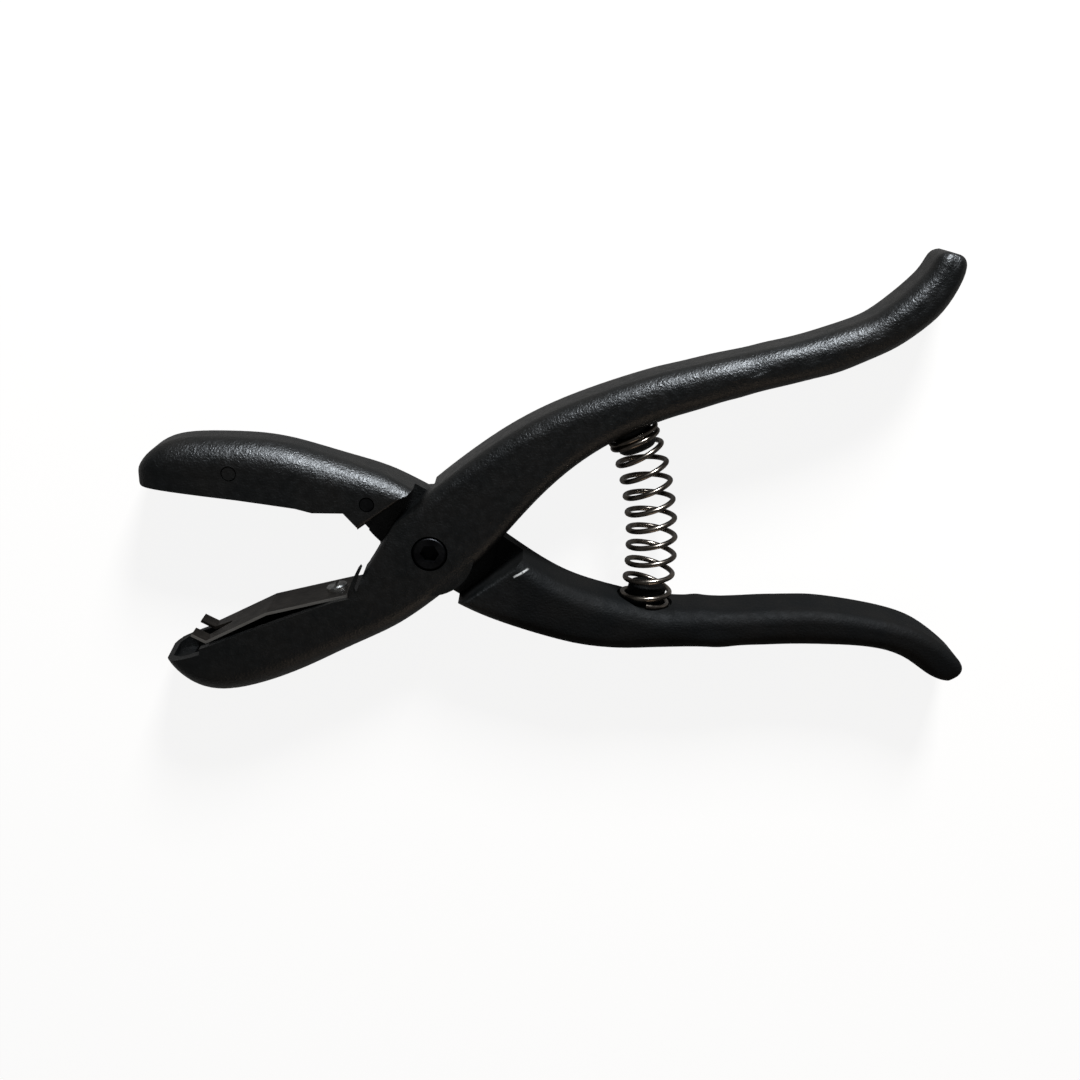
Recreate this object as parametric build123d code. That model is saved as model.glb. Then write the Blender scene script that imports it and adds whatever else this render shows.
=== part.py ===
from build123d import *
from math import atan2, cos, degrees, hypot, pi, radians, sin, tan
import os

# Ear tag applicator lying on its side: X runs from the jaws to the handles, Y is up in the
# plane of the levers, Z is the pivot axis and z = 0 is the side that the tool lies on.
# All sizes are in millimetres. Every piece is built with the pivot axis at x = 0, y = 0 and
# moved at the end, so that the origin is under the middle of the whole tool.

# Whole tool
THICKNESS = 22.4
MID_Z = THICKNESS / 2
HALF = THICKNESS / 2
CLOSING_ANGLE = 24.0
PIVOT_X = -38.4
PIVOT_Y = -20.4

# Lap joint of the two levers
LAP_GAP = 0.3
SHOULDER_OFFSET = 17.9
FRONT_BODY_ANGLE = 47.0
REAR_BODY_ANGLE = -33.4
FRONT_BOSS_RADIUS = 13.2
REAR_BOSS_RADIUS = 15.7
BEARING_RADIUS = 19.4
BOSS_DROP = 0.4
RELIEF_DEPTH = 1.2
SHOULDER_ROUND = 1.5

# Pivot hardware: M6 socket cap screw, bush, friction washer and self-locking nut
RUNNING_FIT = 0.05
SEAT_FIT = 0.02
SCREW_RADIUS = 3.0
SCREW_LENGTH = 16.0
HEAD_RADIUS = 5.0
HEAD_HEIGHT = 6.0
HEAD_POCKET_RADIUS = 5.4
HEAD_POCKET_DEPTH = 6.1
HEX_KEY_FLATS = 5.0
HEX_KEY_DEPTH = 3.2
BUSH_RADIUS = 4.25
NUT_FLATS = 10.0
NUT_HEX_HEIGHT = 4.7
NUT_COLLAR_RADIUS = 4.4
NUT_COLLAR_HEIGHT = 1.3
NUT_RING_RADIUS = 3.9
NUT_POCKET_DEPTH = 6.35
NUT_POCKET_CLEARANCE = 0.1
WASHER_RADIUS = 11.0
WASHER_THICKNESS = 0.8
WASHER_RECESS = 0.55

# Jaw channels
WALL = 3.2
CHANNEL_HALF = HALF - WALL
MOUTH_HALF = 4.4
MOUTH_BULGE = 0.8
SCOOP_FALL = 0.1
FIN_LOW_Z = 19.4
FIN_HIGH_Z = 22.2

# Cross pins and the folding pin of the upper jaw
CROSS_PIN_RADIUS = 2.25
CROSS_PIN_INSET = 0.25
FRONT_PIN_XY = (-57.5, 24.3)
REAR_PIN_XY = (-17.9, 15.0)
CARRIER_RADIUS = 4.4
CARRIER_SIDE_GAP = 0.3
NECK_RADIUS = 3.3
NECK_REACH = 8.5
PIN_FOLDED_ANGLE = -9.0
PIN_REACH = 29.5
PIN_RADIUS = 1.5
PIN_COLLAR_FLATS = 6.0
PIN_COLLAR_HEIGHT = 2.0
PIN_STUD_RADIUS = 2.0
PIN_STUD_DEPTH = 3.6
PIN_TAPER = 4.0
PIN_TIP_RADIUS = 0.45
LEAF_THICKNESS = 0.6
LEAF_HALF_WIDTH = 3.5
LEAF_GAP = 0.3
LEAF_TAIL = 3.0
LEAF_ROOT_ANGLE = 118.0
SLEEVE_RADIUS = 3.2
SLEEVE_END_GAP = 0.05

# Tag clip on the lower jaw
CLIP_HALF_WIDTH = 9.0
CLIP_THICKNESS = 0.8
CLIP_REAR = (-25.0, -13.4)
CLIP_KNEE = (-49.8, -19.2)
CLIP_BEND = (-68.4, -28.2)
CLIP_TIP = (-72.5, -26.0)
SLOT_FRONT_HALF = 3.3
SLOT_END_HALF = 1.0
SLOT_END_X = -63.0
CLIP_SCREW_X = -29.2
CLIP_SCREW_RADIUS = 2.0
CLIP_SCREW_DEPTH = 9.0
CLIP_HEAD_RADIUS = 3.2
CLIP_HEAD_HEIGHT = 1.3
CLIP_HEAD_SLOT = 0.9
CLIP_HEAD_SLOT_DEPTH = 0.8
CLIP_SEAT_REAR_X = -22.9
CLIP_SEAT_FRONT_X = -29.5
CLIP_BOSS_HALF = 6.5
CLIP_BOSS_FRONT_X = -37.0

# Return spring
WIRE_RADIUS = 0.8
WIRE_SIDES = 6
COIL_RADIUS = 7.05
SPRING_FOOT = (64.3, -18.6)
SPRING_FOOT_ANGLE = 78.0
SPRING_TURN = 34.0
SPRING_CHORD = 53.6
CLOSED_FOOT_HALF_TURNS = 1
CLOSED_HEAD_HALF_TURNS = 3
ACTIVE_HALF_TURNS = 18
CLOSED_GAP = 0.1
SEAT_RADIUS = 8.6
BOSS_RADIUS = 5.75
BOSS_HEIGHT = 6.0
BOSS_CHAMFER = 0.8
BOSS_ROOT = 5.0

# Stations of the levers from handle end to jaw end. Each one gives the two edge points
# of a cross-section, its half thickness and the corner radii at those two edges.
FRONT_STATIONS = [
    (147.0, 86.9, 150.4, 85.9, 6.2, 1.5, 1.5),
    (144.8, 86.2, 152.2, 83.8, 7.6, 2.8, 2.8),
    (142.6, 83.2, 151.0, 77.4, 8.6, 4.2, 4.2),
    (138.0, 77.7, 146.4, 69.9, 9.6, 4.8, 4.8),
    (128.0, 69.6, 133.2, 59.7, 10.2, 5.3, 5.3),
    (113.1, 63.8, 116.7, 52.5, 10.4, 5.4, 5.4),
    (96.5, 59.5, 99.5, 48.2, 10.6, 5.4, 5.4),
    (78.5, 55.4, 81.8, 43.2, 10.9, 5.6, 5.6),
    (58.5, 50.2, 64.0, 37.4, HALF, 5.6, 5.6),
    (37.0, 42.2, 46.5, 28.2, HALF, 5.2, 5.2),
    (19.5, 32.5, 32.2, 16.0, HALF, 4.6, 4.6),
    (5.1, 21.9, 21.6, 4.2, HALF, 4.2, 4.2),
    (-9.3, 8.8, 9.1, -8.6, HALF, 4.0, 4.6),
    (-17.3, -2.8, -3.8, -19.2, HALF, 3.0, 5.5),
    (-26.5, -11.6, -17.6, -27.7, HALF, 1.0, 7.0),
    (-42.0, -18.6, -35.7, -36.7, HALF, 0.8, 8.0),
    (-58.0, -24.2, -54.7, -44.0, HALF, 0.8, 8.0),
    (-69.0, -28.0, -67.4, -45.4, 11.0, 0.8, 7.8),
    (-76.4, -30.4, -74.8, -42.5, 10.0, 0.8, 6.6),
    (-80.6, -32.0, -79.1, -38.7, 7.8, 0.6, 4.2),
    (-82.2, -33.0, -81.3, -36.3, 5.0, 0.5, 1.8),
]
REAR_STATIONS = [
    (160.9, -41.0, 157.6, -42.7, 6.2, 1.3, 1.3),
    (162.1, -38.4, 154.9, -42.0, 7.6, 2.4, 2.8),
    (159.0, -33.8, 150.8, -39.8, 8.6, 3.0, 4.0),
    (151.0, -27.5, 144.8, -35.4, 9.6, 3.2, 4.6),
    (137.5, -22.2, 134.5, -31.4, 10.2, 3.4, 4.6),
    (118.0, -18.9, 117.6, -30.3, 10.4, 3.6, 5.2),
    (97.5, -18.8, 97.5, -30.6, 10.6, 4.2, 5.4),
    (78.0, -18.8, 77.4, -31.2, 10.9, 5.0, 5.6),
    (60.0, -16.6, 56.5, -31.3, HALF, 5.6, 5.6),
    (42.0, -11.1, 36.0, -27.8, HALF, 5.2, 5.2),
    (27.5, -2.6, 17.5, -21.3, HALF, 4.6, 4.6),
    (18.0, 4.2, 7.9, -16.2, HALF, 4.2, 3.2),
    (8.4, 10.8, -3.8, -8.4, HALF, 4.0, 2.0),
    (-4.7, 18.6, -15.8, 0.6, HALF, 5.0, 1.0),
    (-18.0, 24.8, -23.6, 8.4, HALF, 7.0, 0.8),
    (-33.0, 29.6, -36.2, 12.0, HALF, 8.0, 0.8),
    (-52.0, 33.5, -54.0, 15.0, HALF, 8.0, 0.8),
    (-68.0, 33.8, -68.6, 16.8, 11.0, 7.6, 0.8),
    (-77.8, 31.9, -78.0, 18.0, 10.2, 6.0, 0.8),
    (-82.6, 28.6, -83.0, 19.2, 8.6, 4.0, 0.8),
    (-85.0, 25.4, -85.0, 20.2, 6.0, 2.0, 0.8),
]

# Outlines in the lever plane that open the jaws. The first point of each jaw cut lies beside
# the pivot, and the channels stop short of the outer skin by the wall of the casting.
LOWER_JAW_CUT = [
    (-68.8, -29.7),
    (-95.0, -38.3),
    (-95.0, -25.0),
    (-60.0, -5.0),
    (-30.0, -2.0),
    (-18.4, -1.6),
    (-19.0, -4.3),
    (-20.4, -8.0),
    (-22.4, -13.0),
]
LOWER_CHANNEL = [
    (-35.0, -10.0),
    (-36.0, -29.0),
    (-46.0, -34.6),
    (-56.5, -38.6),
    (-68.0, -40.2),
    (-75.0, -38.8),
    (-75.0, -10.0),
]
NOSE_CUT = [
    (-70.2, -10.0),
    (-70.2, -30.1),
    (-95.0, -38.6),
    (-95.0, -10.0),
]
MOUTH_REAR_X = -74.5
MOUTH_FRONT_X = -79.8
MOUTH_FLOOR_Y = -36.2
MOUTH_TOP_Y = -10.0
FIN_OUTLINE = [
    (-20.6, -4.0),
    (-20.2, -4.6),
    (-21.2, -6.8),
    (-22.3, -9.8),
    (-22.9, -11.4),
    (-22.3, -13.2),
    (-22.4, -15.5),
    (-24.3, -15.5),
    (-24.4, -11.6),
    (-23.3, -8.8),
    (-21.4, -5.0),
]
CLIP_POST_FOOT = [(-37.0, -31.5), (-25.3, -24.0)]
UPPER_JAW_CUT = [
    (-95.0, 21.3),
    (-82.0, 19.6),
    (-56.0, 16.4),
    (-38.8, 13.8),
    (-34.0, 12.5),
    (-24.9, 12.4),
    (-21.0, 8.0),
    (-20.8, 4.2),
    (-19.3, 4.0),
    (-16.4, 0.0),
    (-24.0, -8.0),
    (-95.0, 5.0),
]
UPPER_CHANNEL = [
    (-23.6, 6.0),
    (-13.2, 14.2),
    (-15.4, 19.4),
    (-27.0, 24.2),
    (-40.5, 28.0),
    (-55.0, 30.6),
    (-67.0, 30.4),
    (-75.5, 27.8),
    (-80.0, 24.0),
    (-81.0, 12.0),
]

# Derived levels and angles
FRONT_POCKET_ANGLE = REAR_BODY_ANGLE + CLOSING_ANGLE / 2
REAR_POCKET_ANGLE = FRONT_BODY_ANGLE - CLOSING_ANGLE / 2
FRONT_LAP_Z = MID_Z + LAP_GAP / 2
REAR_LAP_Z = MID_Z - LAP_GAP / 2
HEAD_SEAT_Z = THICKNESS - HEAD_POCKET_DEPTH
NUT_SEAT_Z = NUT_POCKET_DEPTH


def unit(angle):
    """Direction in the lever plane at an angle from +X."""
    return (cos(radians(angle)), sin(radians(angle)))


def along(point, angle, distance):
    """Point moved a distance at an angle in the lever plane."""
    step = unit(angle)
    return (point[0] + step[0] * distance, point[1] + step[1] * distance)


def prism(points, low, high):
    """Straight-sided body over a closed outline in the lever plane."""
    face = make_face(Polyline(*points, close=True))
    return Pos(0, 0, low) * extrude(face, high - low)


def post(xy, radius, low, high):
    """Cylinder parallel to the pivot axis."""
    return Pos(xy[0], xy[1], (low + high) / 2) * Cylinder(radius, high - low)


def hex_post(flats, low, high):
    """Hexagonal post on the pivot axis."""
    face = RegularPolygon(flats / 2, 6, major_radius=False)
    return Pos(0, 0, low) * extrude(face, high - low)


def rod(xy, angle, radius, start, end):
    """Cylinder in the lever plane, at mid thickness, along a direction."""
    middle = along(xy, angle, (start + end) / 2)
    return Pos(middle[0], middle[1], MID_Z) * Rot(0, 0, angle) * Rot(0, 90, 0) * Cylinder(radius, end - start)


def section(station):
    """Rounded cross-section of a lever at one station."""
    ax, ay, bx, by, half, ra, rb = station
    reach = hypot(ax - bx, ay - by)
    w = reach / 2
    nx = (ax - bx) / reach
    ny = (ay - by) / reach
    plane = Plane(origin=((ax + bx) / 2, (ay + by) / 2, MID_Z), x_dir=(nx, ny, 0), z_dir=(ny, -nx, 0))
    edges = [
        Line((w - ra, half), (rb - w, half)),
        CenterArc((rb - w, half - rb), rb, 90, 90),
        Line((-w, half - rb), (-w, rb - half)),
        CenterArc((rb - w, rb - half), rb, 180, 90),
        Line((rb - w, -half), (w - ra, -half)),
        CenterArc((w - ra, ra - half), ra, 270, 90),
        Line((w, ra - half), (w, half - ra)),
        CenterArc((w - ra, half - ra), ra, 0, 90),
    ]
    return plane * make_face(edges)


def lever_body(stations):
    """Smooth cast body through all the stations."""
    return loft([section(station) for station in stations])


def lap_pocket(angle, low, high):
    """Straight pocket across the pivot that the other lever swings in."""
    body = Box(7 * SHOULDER_OFFSET, 2 * SHOULDER_OFFSET, high - low)
    return Pos(0, 0, (low + high) / 2) * Rot(0, 0, angle) * body


def shoulder_rounds(angle, level, up):
    """Cuts that round both long edges of a pocket at the casting's outer face."""
    near = SHOULDER_OFFSET
    far = SHOULDER_OFFSET + SHOULDER_ROUND
    edges = [
        Line((near, -SHOULDER_ROUND), (near - 1, -SHOULDER_ROUND)),
        Line((near - 1, -SHOULDER_ROUND), (near - 1, 1)),
        Line((near - 1, 1), (far, 1)),
        Line((far, 1), (far, 0)),
        CenterArc((far, -SHOULDER_ROUND), SHOULDER_ROUND, 90, 90),
    ]
    body = extrude(Plane.YZ * make_face(edges), 3.5 * SHOULDER_OFFSET, both=True)
    body += mirror(body, Plane.XZ)
    if not up:
        body = mirror(body, Plane.XY)
    return Pos(0, 0, level) * Rot(0, 0, angle) * body


def spring_point(distance, side):
    """Wire centre beside the bowed axis of the spring at a distance along it."""
    bend = SPRING_CHORD / (2 * sin(radians(SPRING_TURN / 2)))
    hub = along(SPRING_FOOT, SPRING_FOOT_ANGLE + 90, bend)
    turn = degrees(distance / bend)
    return along(hub, SPRING_FOOT_ANGLE - 90 + turn, bend + side * COIL_RADIUS)


def spring_head():
    """Centre of the upper spring seat."""
    return along(SPRING_FOOT, SPRING_FOOT_ANGLE + SPRING_TURN / 2, SPRING_CHORD)


def seat_cut(centre, angle):
    """Round spot face for a spring end."""
    return rod(centre, angle, SEAT_RADIUS, 0, BOSS_HEIGHT)


def seat_boss(centre, angle):
    """Cast boss that holds a spring end."""
    body = rod(centre, angle, BOSS_RADIUS, -BOSS_ROOT, BOSS_HEIGHT)
    tip = along(centre, angle, BOSS_HEIGHT)
    rim = body.edges().sort_by_distance((tip[0], tip[1], MID_Z))[0:1]
    return chamfer(rim, BOSS_CHAMFER)


def clip_outline(points, thickness):
    """Closed outline of a bent strip with the given upper line."""
    lower = []
    for i, point in enumerate(points):
        before = points[max(i - 1, 0)]
        after = points[min(i + 1, len(points) - 1)]
        first = atan2(point[1] - before[1], point[0] - before[0]) if i else None
        last = atan2(after[1] - point[1], after[0] - point[0]) if point != after else None
        if first is None:
            first = last
        if last is None:
            last = first
        middle = (first + last) / 2
        half_turn = (last - first) / 2
        reach = thickness / cos(half_turn)
        lower.append((point[0] - sin(middle) * reach, point[1] + cos(middle) * reach))
    return points + lower[::-1]


def clip_line_y(x, drop):
    """Height of the rear straight part of the clip, lowered by a distance."""
    slope = (CLIP_REAR[1] - CLIP_KNEE[1]) / (CLIP_REAR[0] - CLIP_KNEE[0])
    return CLIP_REAR[1] + (x - CLIP_REAR[0]) * slope - drop * hypot(1, slope)


def clip_tilt():
    """Slope of the rear straight part of the clip in degrees."""
    return degrees(atan2(CLIP_REAR[1] - CLIP_KNEE[1], CLIP_REAR[0] - CLIP_KNEE[0]))


def nose_scoop():
    """Cut over the lower jaw's nose that falls away towards the upper side of the tool."""
    face = make_face(Polyline(*NOSE_CUT, close=True))
    start = Pos(0, 0, MID_Z - CHANNEL_HALF)
    return start * extrude(face, 2 * HALF, dir=(0, -SCOOP_FALL, 1))


def mouth():
    """Tapered front end of the lower jaw's channel."""
    middle = (MOUTH_REAR_X + MOUTH_FRONT_X) / 2
    face = make_face(
        Polyline(
            (MOUTH_REAR_X, -CHANNEL_HALF),
            (middle, -CHANNEL_HALF + MOUTH_BULGE),
            (MOUTH_FRONT_X, -MOUTH_HALF),
            (MOUTH_FRONT_X, MOUTH_HALF),
            (middle, CHANNEL_HALF - MOUTH_BULGE),
            (MOUTH_REAR_X, CHANNEL_HALF),
            close=True,
        )
    )
    return Pos(0, MOUTH_TOP_Y, MID_Z) * Rot(90, 0, 0) * extrude(face, MOUTH_TOP_Y - MOUTH_FLOOR_Y)


def build_front_lever():
    """Upper handle and lower jaw in one casting."""
    body = lever_body(FRONT_STATIONS)
    body += post((0, 0), FRONT_BOSS_RADIUS, FRONT_LAP_Z, THICKNESS - BOSS_DROP)
    seat_rear = (CLIP_SEAT_REAR_X, clip_line_y(CLIP_SEAT_REAR_X, CLIP_THICKNESS))
    seat_front = (CLIP_SEAT_FRONT_X, clip_line_y(CLIP_SEAT_FRONT_X, CLIP_THICKNESS))
    body -= prism([seat_rear, seat_front] + LOWER_JAW_CUT, -1, THICKNESS + 1)
    body -= prism(LOWER_CHANNEL, MID_Z - CHANNEL_HALF, MID_Z + CHANNEL_HALF)
    body -= mouth()
    body -= nose_scoop()
    body += prism(FIN_OUTLINE, FIN_LOW_Z, FIN_HIGH_Z)
    boss_front = (CLIP_BOSS_FRONT_X, clip_line_y(CLIP_BOSS_FRONT_X, CLIP_THICKNESS))
    boss = [seat_rear, boss_front] + CLIP_POST_FOOT
    body += prism(boss, MID_Z - CLIP_BOSS_HALF, MID_Z + CLIP_BOSS_HALF)
    body -= clip_screw_rod(CLIP_SCREW_RADIUS + SEAT_FIT, -CLIP_SCREW_DEPTH - CLIP_THICKNESS - 1, 1)
    body -= lap_pocket(FRONT_POCKET_ANGLE, -1, FRONT_LAP_Z)
    body -= shoulder_rounds(FRONT_POCKET_ANGLE, 0, False)
    relief = lap_pocket(FRONT_POCKET_ANGLE, FRONT_LAP_Z - 0.1, FRONT_LAP_Z + RELIEF_DEPTH)
    body -= relief - post((0, 0), BEARING_RADIUS, 0, THICKNESS)
    head = spring_head()
    head_angle = SPRING_FOOT_ANGLE + SPRING_TURN + 180
    body -= seat_cut(head, head_angle)
    body += seat_boss(head, head_angle)
    body -= post((0, 0), BUSH_RADIUS + RUNNING_FIT, 0, THICKNESS)
    body -= post((0, 0), HEAD_POCKET_RADIUS, HEAD_SEAT_Z, THICKNESS + 1)
    return body


def build_rear_lever():
    """Lower handle and upper jaw in one casting."""
    body = lever_body(REAR_STATIONS)
    body -= prism(UPPER_JAW_CUT, -1, THICKNESS + 1)
    body += post((0, 0), REAR_BOSS_RADIUS, BOSS_DROP, REAR_LAP_Z)
    body -= prism(UPPER_CHANNEL, MID_Z - CHANNEL_HALF, MID_Z + CHANNEL_HALF)
    body -= lap_pocket(REAR_POCKET_ANGLE, REAR_LAP_Z, THICKNESS + 1)
    body -= shoulder_rounds(REAR_POCKET_ANGLE, THICKNESS, True)
    relief = lap_pocket(REAR_POCKET_ANGLE, REAR_LAP_Z - RELIEF_DEPTH, REAR_LAP_Z + 0.1)
    body -= relief - post((0, 0), BEARING_RADIUS, 0, THICKNESS)
    body -= seat_cut(SPRING_FOOT, SPRING_FOOT_ANGLE)
    body += seat_boss(SPRING_FOOT, SPRING_FOOT_ANGLE)
    body -= post((0, 0), BUSH_RADIUS + RUNNING_FIT, 0, THICKNESS)
    body -= post((0, 0), WASHER_RADIUS + RUNNING_FIT, REAR_LAP_Z - WASHER_RECESS, THICKNESS)
    body -= hex_post(NUT_FLATS + 2 * NUT_POCKET_CLEARANCE, -1, NUT_POCKET_DEPTH)
    body -= post(FRONT_PIN_XY, CROSS_PIN_RADIUS + SEAT_FIT, -1, THICKNESS + 1)
    body -= post(REAR_PIN_XY, CROSS_PIN_RADIUS + SEAT_FIT, -1, THICKNESS + 1)
    return body


def build_pivot_screw():
    """Socket cap screw on the pivot axis."""
    body = post((0, 0), HEAD_RADIUS, HEAD_SEAT_Z, HEAD_SEAT_Z + HEAD_HEIGHT)
    top = body.edges().group_by(Axis.Z)[-1]
    body = chamfer(top, 0.5)
    body += post((0, 0), SCREW_RADIUS, HEAD_SEAT_Z - SCREW_LENGTH, HEAD_SEAT_Z)
    tip = body.edges().group_by(Axis.Z)[0]
    body = chamfer(tip, 0.5)
    top_z = HEAD_SEAT_Z + HEAD_HEIGHT
    return body - hex_post(HEX_KEY_FLATS, top_z - HEX_KEY_DEPTH, top_z + 1)


def build_pivot_bush():
    """Bush that the levers turn on."""
    body = post((0, 0), BUSH_RADIUS, NUT_SEAT_Z, HEAD_SEAT_Z)
    return body - post((0, 0), SCREW_RADIUS + RUNNING_FIT, 0, THICKNESS)


def build_lap_washer():
    """Friction washer between the laps."""
    low = REAR_LAP_Z - WASHER_RECESS
    body = post((0, 0), WASHER_RADIUS, low, low + WASHER_THICKNESS)
    return body - post((0, 0), BUSH_RADIUS + RUNNING_FIT, 0, THICKNESS)


def build_pivot_nut():
    """Hexagon nut with a round collar for its locking ring."""
    low = NUT_SEAT_Z - NUT_HEX_HEIGHT
    body = hex_post(NUT_FLATS, low, NUT_SEAT_Z)
    body += post((0, 0), NUT_COLLAR_RADIUS, low - NUT_COLLAR_HEIGHT, low)
    body -= post((0, 0), NUT_RING_RADIUS, low - NUT_COLLAR_HEIGHT - 1, low)
    return body - post((0, 0), SCREW_RADIUS + SEAT_FIT, 0, THICKNESS)


def build_nut_ring():
    """Plastic locking ring in the nut's collar."""
    high = NUT_SEAT_Z - NUT_HEX_HEIGHT
    body = post((0, 0), NUT_RING_RADIUS - SEAT_FIT, high - NUT_COLLAR_HEIGHT + 0.1, high)
    return body - post((0, 0), SCREW_RADIUS + SEAT_FIT, 0, THICKNESS)


def build_return_spring():
    """Compression spring with a bowed axis, made of half turns."""
    bend = SPRING_CHORD / (2 * sin(radians(SPRING_TURN / 2)))
    length = bend * radians(SPRING_TURN)
    closed_step = WIRE_RADIUS + CLOSED_GAP / 2
    closed_half_turns = CLOSED_FOOT_HALF_TURNS + CLOSED_HEAD_HALF_TURNS
    active_length = length - 2 * WIRE_RADIUS - closed_half_turns * closed_step
    active_step = active_length / ACTIVE_HALF_TURNS
    steps = [closed_step] * CLOSED_FOOT_HALF_TURNS
    steps += [active_step] * ACTIVE_HALF_TURNS
    steps += [closed_step] * CLOSED_HEAD_HALF_TURNS
    distance = WIRE_RADIUS
    side = 1
    start = spring_point(distance, side)
    turns = []
    for step in steps:
        distance += step
        side = -side
        end = spring_point(distance, side)
        angle = degrees(atan2(end[1] - start[1], end[0] - start[0]))
        middle = ((start[0] + end[0]) / 2, (start[1] + end[1]) / 2)
        wire = RegularPolygon(WIRE_RADIUS, WIRE_SIDES, rotation=angle)
        profile = Pos(start[0], start[1], MID_Z) * wire
        axis = Axis((middle[0], middle[1], MID_Z), (-sin(radians(angle)), cos(radians(angle)), 0))
        turns.append(revolve(profile, axis, 180 * side))
        start = end
    body = turns[0]
    for turn in turns[1:]:
        body += turn
    return body


def clip_screw_rod(radius, start, end):
    """Cylinder on the clip screw's axis, measured from the clip's upper face."""
    foot = (CLIP_SCREW_X, clip_line_y(CLIP_SCREW_X, 0))
    return rod(foot, clip_tilt() + 90, radius, start, end)


def build_tag_clip():
    """Bent spring-steel clip with a forked front end."""
    line = [CLIP_TIP, CLIP_BEND, CLIP_KNEE, CLIP_REAR]
    outline = clip_outline(line, -CLIP_THICKNESS)
    body = prism(outline, MID_Z - CLIP_HALF_WIDTH, MID_Z + CLIP_HALF_WIDTH)
    taper = make_face(
        Polyline(
            (CLIP_TIP[0] - CLIP_HALF_WIDTH, -SLOT_FRONT_HALF),
            (CLIP_BEND[0], -SLOT_FRONT_HALF),
            (SLOT_END_X, -SLOT_END_HALF),
            (SLOT_END_X, SLOT_END_HALF),
            (CLIP_BEND[0], SLOT_FRONT_HALF),
            (CLIP_TIP[0] - CLIP_HALF_WIDTH, SLOT_FRONT_HALF),
            close=True,
        )
    )
    taper += Pos(SLOT_END_X, 0) * Circle(SLOT_END_HALF)
    cutter = extrude(taper, 20, both=True)
    body -= Pos(0, -25, MID_Z) * Rot(90, 0, 0) * cutter
    body -= clip_screw_rod(CLIP_SCREW_RADIUS + 0.2, -5, 2)
    return body


def build_clip_screw():
    """Low round-headed screw with a slot that holds the clip."""
    body = clip_screw_rod(CLIP_HEAD_RADIUS, 0, CLIP_HEAD_HEIGHT)
    foot = (CLIP_SCREW_X, clip_line_y(CLIP_SCREW_X, 0))
    crown = along(foot, clip_tilt() + 90, CLIP_HEAD_HEIGHT)
    rim = body.edges().sort_by_distance((crown[0], crown[1], MID_Z))[0:1]
    body = chamfer(rim, 0.4)
    body += clip_screw_rod(CLIP_SCREW_RADIUS, -CLIP_THICKNESS - CLIP_SCREW_DEPTH, 0)
    slot = Box(2 * CLIP_HEAD_SLOT_DEPTH, CLIP_HEAD_SLOT, 3 * CLIP_HEAD_RADIUS)
    return body - Pos(crown[0], crown[1], MID_Z) * Rot(0, 0, clip_tilt() + 90) * slot


def build_cross_pin(xy):
    """Plain steel pin through both walls of the upper jaw."""
    body = post(xy, CROSS_PIN_RADIUS, CROSS_PIN_INSET, THICKNESS - CROSS_PIN_INSET)
    ends = body.edges().filter_by(GeomType.CIRCLE)
    return chamfer(ends, 0.3)


def build_pin_carrier():
    """Barrel on the front cross pin with a neck that holds the piercing pin."""
    reach = CHANNEL_HALF - CARRIER_SIDE_GAP
    body = post(FRONT_PIN_XY, CARRIER_RADIUS, MID_Z - reach, MID_Z + reach)
    body += rod(FRONT_PIN_XY, PIN_FOLDED_ANGLE, NECK_RADIUS, 0, NECK_REACH)
    body -= post(FRONT_PIN_XY, CROSS_PIN_RADIUS + RUNNING_FIT, 0, THICKNESS)
    stud = PIN_STUD_RADIUS + SEAT_FIT
    return body - rod(FRONT_PIN_XY, PIN_FOLDED_ANGLE, stud, NECK_REACH - PIN_STUD_DEPTH, NECK_REACH + 1)


def build_applicator_pin():
    """Pointed pin with a hexagon collar and a threaded stud."""
    half_profile = [
        (NECK_REACH - PIN_STUD_DEPTH, 0),
        (NECK_REACH - PIN_STUD_DEPTH, PIN_STUD_RADIUS),
        (NECK_REACH, PIN_STUD_RADIUS),
        (NECK_REACH + PIN_COLLAR_HEIGHT, PIN_STUD_RADIUS),
        (NECK_REACH + PIN_COLLAR_HEIGHT, PIN_RADIUS),
        (PIN_REACH - PIN_TAPER, PIN_RADIUS),
        (PIN_REACH, PIN_TIP_RADIUS),
        (PIN_REACH, 0),
    ]
    shank = revolve(make_face(Polyline(*half_profile, close=True)), Axis.X)
    collar = extrude(RegularPolygon(PIN_COLLAR_FLATS / 2, 6, major_radius=False), PIN_COLLAR_HEIGHT)
    shank += Pos(NECK_REACH, 0, 0) * Rot(0, 90, 0) * collar
    return Pos(FRONT_PIN_XY[0], FRONT_PIN_XY[1], MID_Z) * Rot(0, 0, PIN_FOLDED_ANGLE) * shank


def build_detent_leaf():
    """Flat spring rolled round the rear cross pin that bears on the carrier."""
    inner = CROSS_PIN_RADIUS + SEAT_FIT
    eye = make_face(CenterArc(REAR_PIN_XY, inner + LEAF_THICKNESS, 0, 360))
    over_carrier = FRONT_PIN_XY[1] + CARRIER_RADIUS + LEAF_GAP
    root = along(REAR_PIN_XY, LEAF_ROOT_ANGLE, inner + LEAF_THICKNESS / 2)
    span = root[0] - FRONT_PIN_XY[0]
    drop = over_carrier - root[1]
    line = [
        (FRONT_PIN_XY[0] - LEAF_TAIL, over_carrier + LEAF_THICKNESS / 2),
        (FRONT_PIN_XY[0], over_carrier),
        (FRONT_PIN_XY[0] + 0.3 * span, root[1] + 0.84 * drop),
        (FRONT_PIN_XY[0] + 0.69 * span, root[1] + 0.48 * drop),
        root,
    ]
    strip = make_face(Polyline(*clip_outline(line, LEAF_THICKNESS), close=True))
    face = eye + strip
    face -= make_face(CenterArc(REAR_PIN_XY, inner, 0, 360))
    return Pos(0, 0, MID_Z - LEAF_HALF_WIDTH) * extrude(face, 2 * LEAF_HALF_WIDTH)


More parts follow.
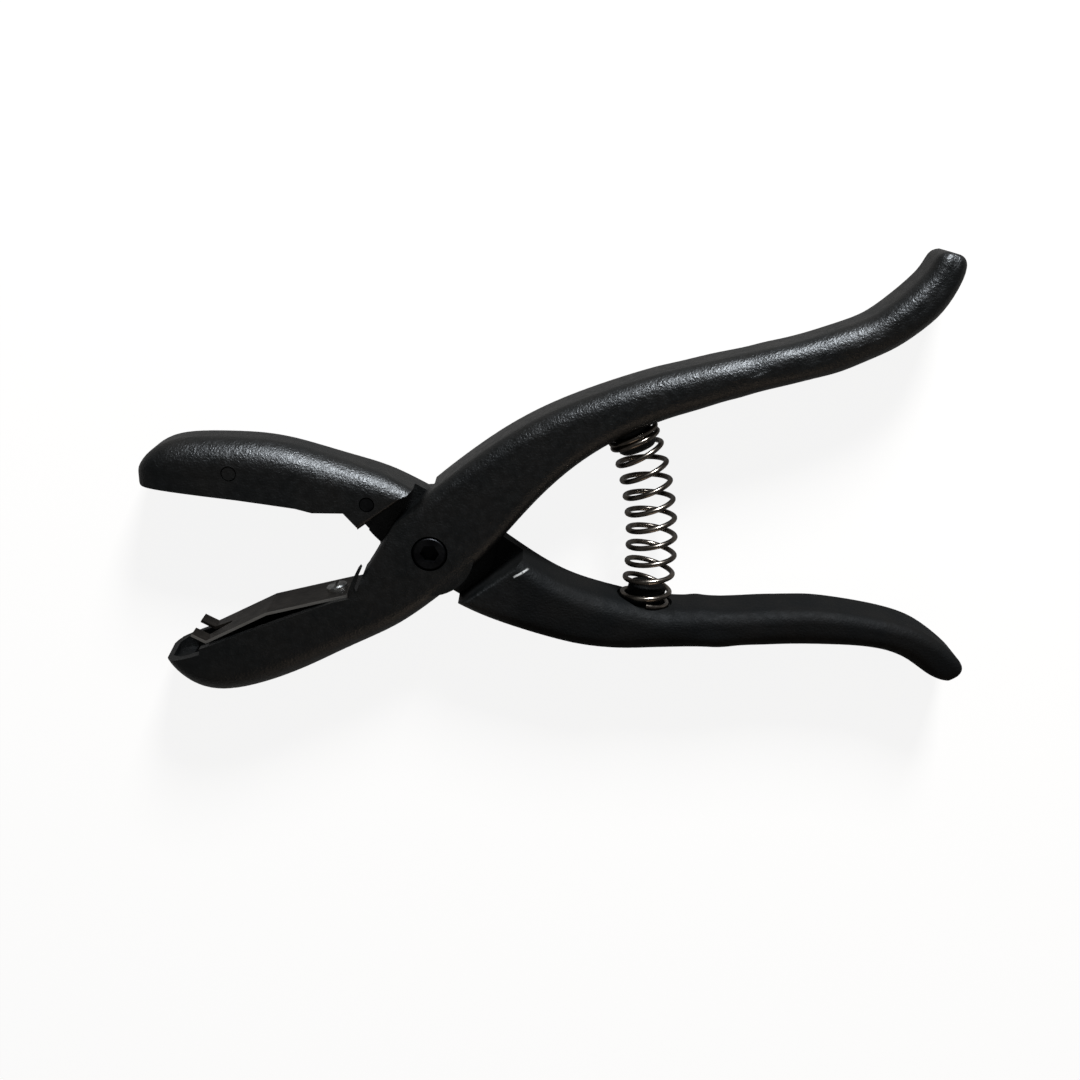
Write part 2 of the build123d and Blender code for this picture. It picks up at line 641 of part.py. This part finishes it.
def build_leaf_sleeve(side):
    """Spacer sleeve that keeps the leaf in the middle of its cross pin."""
    inner_z = MID_Z + side * (LEAF_HALF_WIDTH + SLEEVE_END_GAP)
    outer_z = MID_Z + side * (CHANNEL_HALF - SLEEVE_END_GAP)
    low = min(inner_z, outer_z)
    high = max(inner_z, outer_z)
    body = post(REAR_PIN_XY, SLEEVE_RADIUS, low, high)
    return body - post(REAR_PIN_XY, CROSS_PIN_RADIUS + SEAT_FIT, 0, THICKNESS)


def main():
    """Build every piece and write one file for each."""
    os.makedirs("parts", exist_ok=True)
    pieces = {
        "front_lever": build_front_lever(),
        "rear_lever": build_rear_lever(),
        "pivot_screw": build_pivot_screw(),
        "pivot_bush": build_pivot_bush(),
        "lap_washer": build_lap_washer(),
        "pivot_nut": build_pivot_nut(),
        "nut_ring": build_nut_ring(),
        "return_spring": build_return_spring(),
        "tag_clip": build_tag_clip(),
        "clip_screw": build_clip_screw(),
        "front_cross_pin": build_cross_pin(FRONT_PIN_XY),
        "rear_cross_pin": build_cross_pin(REAR_PIN_XY),
        "pin_carrier": build_pin_carrier(),
        "applicator_pin": build_applicator_pin(),
        "detent_leaf": build_detent_leaf(),
        "upper_leaf_sleeve": build_leaf_sleeve(1),
        "lower_leaf_sleeve": build_leaf_sleeve(-1),
    }
    for name, body in pieces.items():
        print(name, "solids", len(body.solids()), "volume", round(body.volume, 1))
        export_step(Pos(PIVOT_X, PIVOT_Y, 0) * body, "parts/" + name + ".step")


main()
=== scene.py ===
# %% [markdown]
# An ear tag applicator, dressed for its portrait
# The tool looks like a pair of pliers: two black castings crossed at a screw, a bowed spring
# between the handles, a forked steel clip in the lower jaw and a folding pin in the upper one.
# The CAD model already holds every rigid piece at its real size. Blender adds the finishes, a
# smooth round-wire spring, the light and the camera. All lengths here are in metres.

# %% Load the frame
from math import atan2, cos, degrees, hypot, pi, radians, sin, tan

import bpy
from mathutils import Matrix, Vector


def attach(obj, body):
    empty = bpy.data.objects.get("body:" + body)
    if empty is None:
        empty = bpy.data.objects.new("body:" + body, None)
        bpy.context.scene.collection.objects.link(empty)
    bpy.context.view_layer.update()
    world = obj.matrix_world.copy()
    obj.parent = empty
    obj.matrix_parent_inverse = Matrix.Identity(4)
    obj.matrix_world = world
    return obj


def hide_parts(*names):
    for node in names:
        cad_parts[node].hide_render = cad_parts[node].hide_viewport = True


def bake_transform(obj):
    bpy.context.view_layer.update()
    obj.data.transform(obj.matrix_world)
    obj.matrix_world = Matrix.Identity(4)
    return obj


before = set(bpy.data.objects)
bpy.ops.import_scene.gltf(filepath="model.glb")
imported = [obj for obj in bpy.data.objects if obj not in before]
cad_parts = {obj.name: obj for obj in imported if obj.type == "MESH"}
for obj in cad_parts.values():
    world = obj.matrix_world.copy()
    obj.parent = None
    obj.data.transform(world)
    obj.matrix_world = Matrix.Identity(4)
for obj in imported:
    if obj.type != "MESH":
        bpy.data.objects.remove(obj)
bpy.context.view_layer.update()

scene = bpy.context.scene
print("nodes", sorted(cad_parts))

# %% [markdown]
# Colour management
# The Standard view shows a colour as it is written, so the black paint can be set
# against the photograph without a film curve in between.

# %% View transform
scene.view_settings.view_transform = "Standard"

# %% [markdown]
# Small helpers for materials
# Every finish is a node tree that reads Object coordinates. The CAD nodes and the new pieces
# all sit at the origin with their place in the mesh, so one metre of pattern is one metre of
# metal on each of them. The helpers below only save typing: one adds a node, one adds a noise
# of a given grain size, and one remaps a value between two levels.

# %% Node helpers
def new_finish(name):
    """Empty material with a shader, its output and a coordinate source."""
    finish = bpy.data.materials.new(name)
    finish.use_nodes = True
    nodes = finish.node_tree.nodes
    nodes.clear()
    out = nodes.new("ShaderNodeOutputMaterial")
    shader = nodes.new("ShaderNodeBsdfPrincipled")
    place = nodes.new("ShaderNodeTexCoord")
    finish.node_tree.links.new(shader.outputs["BSDF"], out.inputs["Surface"])
    return finish, shader, place


def join(finish, source, target):
    """Link one socket to another."""
    finish.node_tree.links.new(source, target)


def grain(finish, vector, size, detail=2.0, roughness=0.5):
    """Noise whose lumps are about size metres across. Returns its value socket."""
    node = finish.node_tree.nodes.new("ShaderNodeTexNoise")
    node.inputs["Scale"].default_value = 1.0 / size
    node.inputs["Detail"].default_value = detail
    node.inputs["Roughness"].default_value = roughness
    join(finish, vector, node.inputs["Vector"])
    return node.outputs["Fac"]


def levels(finish, value, low, high, out_low, out_high):
    """Remap a value, clamped. Returns the result socket."""
    node = finish.node_tree.nodes.new("ShaderNodeMapRange")
    node.inputs["From Min"].default_value = low
    node.inputs["From Max"].default_value = high
    node.inputs["To Min"].default_value = out_low
    node.inputs["To Max"].default_value = out_high
    join(finish, value, node.inputs["Value"])
    return node.outputs["Result"]


def blend_colours(finish, factor, first, second):
    """Mix two colours, each a triple or a socket. Returns the result socket."""
    node = finish.node_tree.nodes.new("ShaderNodeMix")
    node.data_type = "RGBA"
    join(finish, factor, node.inputs[0])
    for socket, colour in ((node.inputs[6], first), (node.inputs[7], second)):
        if isinstance(colour, tuple):
            socket.default_value = (*colour, 1.0)
        else:
            join(finish, colour, socket)
    return node.outputs[2]


def bump(finish, height, depth, strength=1.0, below=None):
    """Bump of a real depth in metres. Returns its normal socket."""
    node = finish.node_tree.nodes.new("ShaderNodeBump")
    node.inputs["Distance"].default_value = depth
    node.inputs["Strength"].default_value = strength
    join(finish, height, node.inputs["Height"])
    if below is not None:
        join(finish, below, node.inputs["Normal"])
    return node.outputs["Normal"]


def stretched(finish, place, turn, scale):
    """Object coordinates turned about Z and stretched, for streaks. Returns the vector."""
    node = finish.node_tree.nodes.new("ShaderNodeMapping")
    node.inputs["Rotation"].default_value = (0.0, 0.0, turn)
    node.inputs["Scale"].default_value = scale
    join(finish, place.outputs["Object"], node.inputs["Vector"])
    return node.outputs["Vector"]


def sums(finish, operation, first, second=None):
    """One step of arithmetic; the second value may be a number. Returns the value socket."""
    node = finish.node_tree.nodes.new("ShaderNodeMath")
    node.operation = operation
    join(finish, first, node.inputs[0])
    if isinstance(second, float):
        node.inputs[1].default_value = second
    elif second is not None:
        join(finish, second, node.inputs[1])
    return node.outputs[0]


def axes(finish, vector):
    """Split a vector into its three values."""
    node = finish.node_tree.nodes.new("ShaderNodeSeparateXYZ")
    join(finish, vector, node.inputs[0])
    return node.outputs


def mark(finish, place, centre, turn, half_length, half_width):
    """Mask of a short straight mark on the upper side, 1 inside it and 0 away from it."""
    node = finish.node_tree.nodes.new("ShaderNodeMapping")
    node.inputs["Rotation"].default_value = (0.0, 0.0, -turn)
    along = cos(turn) * centre[0] + sin(turn) * centre[1]
    across = cos(turn) * centre[1] - sin(turn) * centre[0]
    node.inputs["Location"].default_value = (-along, -across, 0.0)
    join(finish, place.outputs["Object"], node.inputs["Vector"])
    x, y, z = axes(finish, node.outputs["Vector"])
    inside_x = levels(finish, sums(finish, "ABSOLUTE", x), half_length * 0.85, half_length, 1.0, 0.0)
    inside_y = levels(finish, sums(finish, "ABSOLUTE", y), half_width * 0.4, half_width, 1.0, 0.0)
    upper = levels(finish, z, 0.0205, 0.0215, 0.0, 1.0)
    return sums(finish, "MULTIPLY", sums(finish, "MULTIPLY", inside_x, inside_y), upper)

# %% [markdown]
# The black casting paint
# The levers are cast aluminium under a black, sandy paint. In the photograph it is nearly
# black where it faces the camera and breaks into cool sparkles where the long edges turn
# towards the window. The sparkle comes from the grain, so it is made by bump and not by a
# lighter colour: a fine noise for the sand, a middle one for the leathery skin of the casting
# and a wide one for its slow waves.

# %% Casting paint
PIVOT = Vector((-0.0384, -0.0204, 0.0))
SCRATCH_CENTRE = PIVOT + Vector((0.02800, -0.00555, 0.0))
SCRATCH_TURN = radians(26.3)


DULL_FROM_X = -0.030
DULL_TO_X = -0.012


def casting_paint(name, dull):
    """Black sandy paint. Where dull is above 0, the handle right of the pivot is rougher."""
    finish, shader, place = new_finish(name)
    here = place.outputs["Object"]
    sand = grain(finish, here, 0.00065, detail=2.5, roughness=0.6)
    skin = grain(finish, here, 0.0022, detail=2.0)
    cloud = grain(finish, here, 0.012, detail=3.0)
    wave = grain(finish, here, 0.010, detail=1.0)
    tone = levels(finish, cloud, 0.35, 0.68, 0.0, 1.0)
    colour = blend_colours(finish, tone, (0.0010, 0.0013, 0.0014), (0.0030, 0.0027, 0.0024))
    scratch = mark(finish, place, SCRATCH_CENTRE, SCRATCH_TURN, 0.0038, 0.00040)
    scratch = sums(finish, "MULTIPLY", scratch, levels(finish, sand, 0.36, 0.46, 0.0, 1.0))
    colour = blend_colours(finish, scratch, colour, (0.42, 0.41, 0.39))
    join(finish, colour, shader.inputs["Base Color"])
    handle = axes(finish, here)[0]
    rubbed = levels(finish, handle, DULL_FROM_X, DULL_TO_X, 0.0, dull)
    gloss = levels(finish, skin, 0.3, 0.7, 0.44, 0.31)
    join(finish, sums(finish, "ADD", gloss, sums(finish, "MULTIPLY", rubbed, 0.30)), shader.inputs["Roughness"])
    join(finish, levels(finish, rubbed, 0.0, 1.0, 0.45, 0.12), shader.inputs["Specular IOR Level"])
    low = bump(finish, wave, 0.00035, 0.5)
    middle = bump(finish, skin, 0.00014, 0.7, low)
    join(finish, bump(finish, sand, 0.00020, 1.0, middle), shader.inputs["Normal"])
    return finish


paint = casting_paint("casting_paint", 0.0)
dull_paint = casting_paint("rubbed_casting_paint", 1.0)
print("paint nodes", len(paint.node_tree.nodes))

# %% [markdown]
# Steels
# Four kinds of steel show: the bright zinc of the clip screw and the nut, the plain ground
# steel of the pin and its carrier, the black oxide of the pivot screw and the rear cross pin, and
# the oiled brown spring steel of the clip, the leaf and the spring. The front cross pin takes the
# casting paint. They share one recipe with their own colours, a metal shader with fine streaks
# along the way the piece was drawn.

# %% Steel recipe
def steel(name, dark, light, rough, streak_turn, streak_scale, depth):
    finish, shader, place = new_finish(name)
    streaks = grain(finish, stretched(finish, place, streak_turn, streak_scale), 0.0008, 3.0, 0.6)
    patches = grain(finish, place.outputs["Object"], 0.004, 3.0)
    colour = blend_colours(finish, levels(finish, patches, 0.3, 0.7, 0.0, 1.0), dark, light)
    join(finish, colour, shader.inputs["Base Color"])
    shader.inputs["Metallic"].default_value = 1.0
    join(finish, levels(finish, streaks, 0.25, 0.75, rough[0], rough[1]), shader.inputs["Roughness"])
    join(finish, bump(finish, streaks, depth, 0.6), shader.inputs["Normal"])
    return finish


zinc = steel("worn_zinc", (0.05, 0.05, 0.05), (0.75, 0.75, 0.73), (0.24, 0.36), 0.0, (1, 1, 1), 0.00002)
ground = steel("ground_steel", (0.30, 0.30, 0.30), (0.48, 0.47, 0.46), (0.25, 0.40), -0.157, (0.1, 1, 1), 0.00001)
spring_steel = steel("oiled_spring_steel", (0.030, 0.025, 0.021), (0.075, 0.064, 0.054), (0.30, 0.46), 0.25, (0.06, 1, 1), 0.00002)
wire_steel = steel("drawn_spring_wire", (0.10, 0.085, 0.072), (0.26, 0.225, 0.19), (0.20, 0.30), 0.0, (1, 1, 1), 0.00001)
black_oxide = steel("black_oxide", (0.010, 0.010, 0.011), (0.024, 0.024, 0.025), (0.36, 0.5), 0.0, (1, 1, 1), 0.00003)

# %% [markdown]
# The cut edge of the clip
# The clip is sheared from dark strip, so its long cut edges are bare. Their light colour is
# partly bare steel and partly a painted highlight, two thin bright lines along the edges. They
# are found by their distance from the middle of the tool's thickness.

# %% Bare edge of the clip, with painted highlight
CLIP_EDGE = 0.0090
MIDDLE_Z = 0.0112
clip_nodes = spring_steel.node_tree.nodes
clip_shader = next(n for n in clip_nodes if n.type == "BSDF_PRINCIPLED")
clip_place = next(n for n in clip_nodes if n.type == "TEX_COORD")
clip_z = axes(spring_steel, clip_place.outputs["Object"])[2]
clip_side = sums(spring_steel, "ABSOLUTE", sums(spring_steel, "SUBTRACT", clip_z, MIDDLE_Z))
bare_edge_and_painted_highlight = levels(spring_steel, clip_side, CLIP_EDGE - 0.00020, CLIP_EDGE - 0.00005, 0.0, 1.0)
clip_dark = clip_shader.inputs["Base Color"].links[0].from_socket
# Light colour on the two cut edges: bare steel and a painted highlight
join(spring_steel, blend_colours(spring_steel, bare_edge_and_painted_highlight, clip_dark, (0.50, 0.47, 0.43)), clip_shader.inputs["Base Color"])

# %% Give the finishes out
def dress(finish, *names):
    """Give a finish to CAD nodes."""
    for name in names:
        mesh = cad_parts[name].data
        mesh.materials.clear()
        mesh.materials.append(finish)


dress(zinc, "clip_screw", "pivot_nut")
dress(ground, "pin_carrier", "applicator_pin", "pivot_bush", "lap_washer", "upper_leaf_sleeve", "lower_leaf_sleeve")
dress(spring_steel, "tag_clip", "detent_leaf")
dress(paint, "front_cross_pin")
dress(black_oxide, "pivot_screw", "rear_cross_pin")
dress(wire_steel, "return_spring")
nylon, nylon_shader, nylon_place = new_finish("nylon_ring")
nylon_cloud = grain(nylon, nylon_place.outputs["Object"], 0.001)
nylon_colour = blend_colours(nylon, nylon_cloud, (0.05, 0.13, 0.42), (0.07, 0.17, 0.5))
join(nylon, nylon_colour, nylon_shader.inputs["Base Color"])
nylon_shader.inputs["Roughness"].default_value = 0.5
dress(nylon, "nut_ring")
print("finishes", [m.name for m in bpy.data.materials])

# %% [markdown]
# Fair handles
# The real handles run in one even sweep, because a pattern maker files a casting's pattern to
# a fair line. The lofted CAD levers wander from that line between their sections, by up to
# half a millimetre on the upper handle and one on the lower. So each lever is copied, and the
# points of the copy are drawn back by a small table: a distance along the handle, and how far
# the skin stands off there. Between two rows the value eases from one to the other.

# %% Draw the handles fair
def eased(table, distance):
    """Value of a table of (distance, value) rows, eased between the rows and nil outside."""
    for (start, first), (end, second) in zip(table, table[1:]):
        if start <= distance < end:
            share = 0.5 - 0.5 * cos(pi * (distance - start) / (end - start))
            return first + (second - first) * share
    return 0.0


UPPER_HANDLE_SHIFT = [(68, 0.0), (75, 0.12), (90.5, -0.55), (106, 0.60), (122.5, -0.42), (135, 0.33), (144, 0.0)]
LOWER_HANDLE_TOP = [(70.8, 0.0), (73.5, -0.55), (84.5, 0.98), (104, -0.15), (114, 0.0)]
LOWER_HANDLE_UNDER = [(40, 0.0), (51, 0.17), (68, -0.53), (86.5, 0.90), (103, -0.17), (116, 0.0)]
LOWER_HANDLE_MIDDLE = -24.9
LOWER_HANDLE_HALF = 6.1
UPPER_HANDLE_DEPTH = [(56, 0.0), (73, 0.09), (91, -0.58), (106, 0.64), (122.5, -0.42), (137, 0.32), (147, 0.0)]
LOWER_HANDLE_DEPTH = [(56, 0.0), (70, 0.09), (89, -0.58), (108, 0.68), (125.5, -0.36), (143, 0.20), (152, 0.0)]
HANDLE_HALF_DEPTH = 10.5


def upper_handle_fair(x, y):
    """Both edges of the upper handle wander together, square to its slope of 0.27."""
    slope = 0.27
    distance = x + slope * (y - 49.2 - slope * (x - 80))
    return -eased(UPPER_HANDLE_SHIFT, distance), eased(UPPER_HANDLE_DEPTH, distance)


def lower_handle_fair(x, y):
    """The lower handle swells and narrows, so its two edges have a table each."""
    share = max(-1.0, min(1.0, (y - LOWER_HANDLE_MIDDLE) / LOWER_HANDLE_HALF))
    edge = LOWER_HANDLE_TOP if share > 0 else LOWER_HANDLE_UNDER
    return -share * eased(edge, x), eased(LOWER_HANDLE_DEPTH, x)


def fair_lever(node, body, fair, finish):
    """Copy of a lever whose points are drawn back onto the fair line."""
    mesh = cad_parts[node].data.copy()
    lever = bpy.data.objects.new(node + "_fair", mesh)
    scene.collection.objects.link(lever)
    for vertex in mesh.vertices:
        x = (vertex.co.x - PIVOT.x) * 1000
        y = (vertex.co.y - PIVOT.y) * 1000
        shift, swell = fair(x, y)
        vertex.co.y += shift / 1000
        vertex.co.z -= (vertex.co.z - MIDDLE_Z) * swell / HANDLE_HALF_DEPTH
    bpy.ops.object.select_all(action="DESELECT")
    lever.select_set(True)
    bpy.context.view_layer.objects.active = lever
    bpy.ops.mesh.customdata_custom_splitnormals_clear()
    bpy.ops.object.mode_set(mode="EDIT")
    bpy.ops.mesh.select_all(action="SELECT")
    bpy.ops.mesh.remove_doubles(threshold=0.000002)
    bpy.ops.mesh.normals_make_consistent(inside=False)
    bpy.ops.object.mode_set(mode="OBJECT")
    bpy.ops.object.shade_smooth_by_angle(angle=radians(32.0))
    mesh.materials.clear()
    mesh.materials.append(finish)
    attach(lever, body)
    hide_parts(node)
    print(node, "faces", len(mesh.polygons))
    return lever


fair_lever("front_lever", "front_half", upper_handle_fair, paint)
fair_lever("rear_lever", "rear_half", lower_handle_fair, dull_paint)

# %% [markdown]
# The return spring
# The real spring is one length of round wire, bowed because the two handles hold its ends at an
# angle. A screw modifier only winds straight coils, so the wire is wound here as it was in the
# CAD, one half turn at a time: a ring of the wire's size is spun 180 degrees about an axis in
# the plane of the levers, the new end ring stays selected, and the next spin starts from it.
# Every half turn begins and ends square to that plane, so the wire runs on smoothly.

# %% The line that the spring follows
WIRE_RADIUS = 0.0008
COIL_RADIUS = 0.00705
FOOT = PIVOT + Vector((0.0643, -0.0186, MIDDLE_Z))
FOOT_ANGLE = radians(78.0)
BOW = radians(34.0)
CHORD = 0.0536
BOW_RADIUS = CHORD / (2 * sin(BOW / 2))
bow_hub = FOOT + BOW_RADIUS * Vector((cos(FOOT_ANGLE + pi / 2), sin(FOOT_ANGLE + pi / 2), 0.0))


def wire_place(distance, side):
    """Centre of the wire at a distance from the foot, on one side of the bowed line."""
    turn = FOOT_ANGLE - pi / 2 + distance / BOW_RADIUS
    return bow_hub + (BOW_RADIUS + side * COIL_RADIUS) * Vector((cos(turn), sin(turn), 0.0))


length = BOW_RADIUS * BOW
closed_step = WIRE_RADIUS + 0.00005
active_step = (length - 2 * WIRE_RADIUS - 4 * closed_step) / 18
steps = [closed_step] + [active_step] * 18 + [closed_step] * 3
stops = [(WIRE_RADIUS, 1)]
for step in steps:
    stops.append((stops[-1][0] + step, -stops[-1][1]))
print("spring line", round(length * 1000, 1), "mm,", len(steps), "half turns")

# %% Wind the wire
# The wire's cut end lies in the middle of the near side, so a quarter turn comes first.
foot_middle = wire_place(*stops[0]) - COIL_RADIUS * Vector((sin(FOOT_ANGLE), -cos(FOOT_ANGLE), 0.0))
bpy.ops.object.select_all(action="DESELECT")
bpy.ops.mesh.primitive_circle_add(
    vertices=14,
    radius=WIRE_RADIUS,
    location=foot_middle + Vector((0.0, 0.0, COIL_RADIUS)),
    rotation=(0.0, pi / 2, FOOT_ANGLE - pi / 2),
)
coil = bpy.context.object
coil.name = "return_spring_coil"
bpy.ops.object.transform_apply(location=True, rotation=True, scale=True)
bpy.ops.object.mode_set(mode="EDIT")
bpy.ops.mesh.select_all(action="SELECT")
bpy.ops.mesh.edge_face_add()
bpy.ops.mesh.select_all(action="SELECT")
bpy.ops.mesh.spin(steps=8, angle=-pi / 2, center=foot_middle, axis=(cos(FOOT_ANGLE), sin(FOOT_ANGLE), 0.0))
for here, there in zip(stops, stops[1:]):
    start = wire_place(*here)
    end = wire_place(*there)
    across = (end - start).normalized()
    bpy.ops.mesh.spin(
        steps=16,
        angle=-pi * there[1],
        center=(start + end) / 2,
        axis=(-across.y, across.x, 0.0),
    )
bpy.ops.mesh.select_all(action="SELECT")
bpy.ops.mesh.remove_doubles(threshold=0.00001)
bpy.ops.mesh.normals_make_consistent(inside=False)
bpy.ops.object.mode_set(mode="OBJECT")
bpy.ops.object.shade_smooth_by_angle(angle=radians(50.0))
coil.data.materials.append(wire_steel)
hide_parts("return_spring")
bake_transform(coil)
print("coil faces", len(coil.data.polygons), "box", [round(v * 1000, 1) for v in coil.dimensions])

# %% [markdown]
# Floor, light and camera
# The photograph is taken from almost straight above, tipped 17 degrees towards the upper
# handle, with the tool on a white ground. The highlights lie on the edges that face the top of
# the picture and the lower handle is dull, which puts one low bright lamp beyond the upper
# handle. A pale world fills the rest, and the floor is lifted to white only as it is seen.

# %% Floor
bpy.ops.object.select_all(action="DESELECT")
bpy.ops.mesh.primitive_plane_add(size=6.0, location=(0.0, 0.0, 0.0))
floor = bpy.context.object
floor.name = "studio_floor"
floor_finish = bpy.data.materials.new("white_ground")
floor_finish.use_nodes = True
floor_nodes = floor_finish.node_tree.nodes
floor_nodes.clear()
floor_out = floor_nodes.new("ShaderNodeOutputMaterial")
floor_paint = floor_nodes.new("ShaderNodeBsdfDiffuse")
floor_paint.inputs["Color"].default_value = (0.12, 0.11, 0.10, 1.0)
floor_glow = floor_nodes.new("ShaderNodeEmission")
floor_seen = floor_nodes.new("ShaderNodeLightPath")
floor_plain = sums(floor_finish, "MAXIMUM", floor_seen.outputs["Is Camera Ray"], floor_seen.outputs["Is Transmission Ray"])
floor_plain = sums(floor_finish, "MULTIPLY", floor_plain, 0.89)
floor_shine = sums(floor_finish, "MULTIPLY", floor_seen.outputs["Is Glossy Ray"], 0.12)
floor_sum = floor_nodes.new("ShaderNodeAddShader")
join(floor_finish, sums(floor_finish, "ADD", floor_plain, floor_shine), floor_glow.inputs["Strength"])
join(floor_finish, floor_paint.outputs[0], floor_sum.inputs[0])
join(floor_finish, floor_glow.outputs[0], floor_sum.inputs[1])
join(floor_finish, floor_sum.outputs[0], floor_out.inputs["Surface"])
floor.data.materials.append(floor_finish)

# %% World and lamps
world = bpy.data.worlds.new("pale_studio")
scene.world = world
world.use_nodes = True
sky = world.node_tree.nodes["Background"]
sky.inputs["Color"].default_value = (1.0, 1.0, 1.0, 1.0)
sky_nodes = world.node_tree.nodes
sky_seen = sky_nodes.new("ShaderNodeLightPath")
sky_power = sky_nodes.new("ShaderNodeMapRange")
sky_power.inputs["To Min"].default_value = 0.09
sky_power.inputs["To Max"].default_value = 1.0
world.node_tree.links.new(sky_seen.outputs["Is Camera Ray"], sky_power.inputs["Value"])
world.node_tree.links.new(sky_power.outputs["Result"], sky.inputs["Strength"])


def soft_lamp(name, place, aim, size, power, colour):
    """Square area lamp that looks at a point."""
    lamp = bpy.data.lights.new(name, "AREA")
    lamp.size = size
    lamp.energy = power
    lamp.color = colour
    holder = bpy.data.objects.new(name, lamp)
    scene.collection.objects.link(holder)
    holder.location = place
    holder.rotation_euler = (Vector(aim) - Vector(place)).to_track_quat("-Z", "Y").to_euler()
    return holder


MIDDLE = (0.0, 0.0, 0.011)
soft_lamp("low_key_lamp", (0.22, 0.90, 0.42), MIDDLE, 0.24, 26.0, (0.88, 0.94, 1.0))
soft_lamp("warm_fill_lamp", (0.3, -0.9, 0.5), MIDDLE, 0.5, 0.8, (1.0, 0.80, 0.62))

# %% [markdown]
# The camera
# Its place was worked out from the photograph: at 400 millimetres from the tool, the widths of
# the two levers, the screw head and the far rims of the jaws all agree with the picture.

# %% Camera
CAMERA_REACH = 0.400
CAMERA_TILT = radians(17.0)
CAMERA_TARGET = (-0.005791, -0.019446, 0.0112)
camera = bpy.data.objects.new("portrait_camera", bpy.data.cameras.new("portrait_camera"))
scene.collection.objects.link(camera)
camera.location = (
    CAMERA_TARGET[0],
    CAMERA_TARGET[1] + CAMERA_REACH * sin(CAMERA_TILT),
    CAMERA_TARGET[2] + CAMERA_REACH * cos(CAMERA_TILT),
)
camera.rotation_euler = (-CAMERA_TILT, 0.0, 0.0)
camera.data.sensor_width = 36.0
camera.data.lens = 44.13
camera.data.clip_start = 0.01
scene.camera = camera
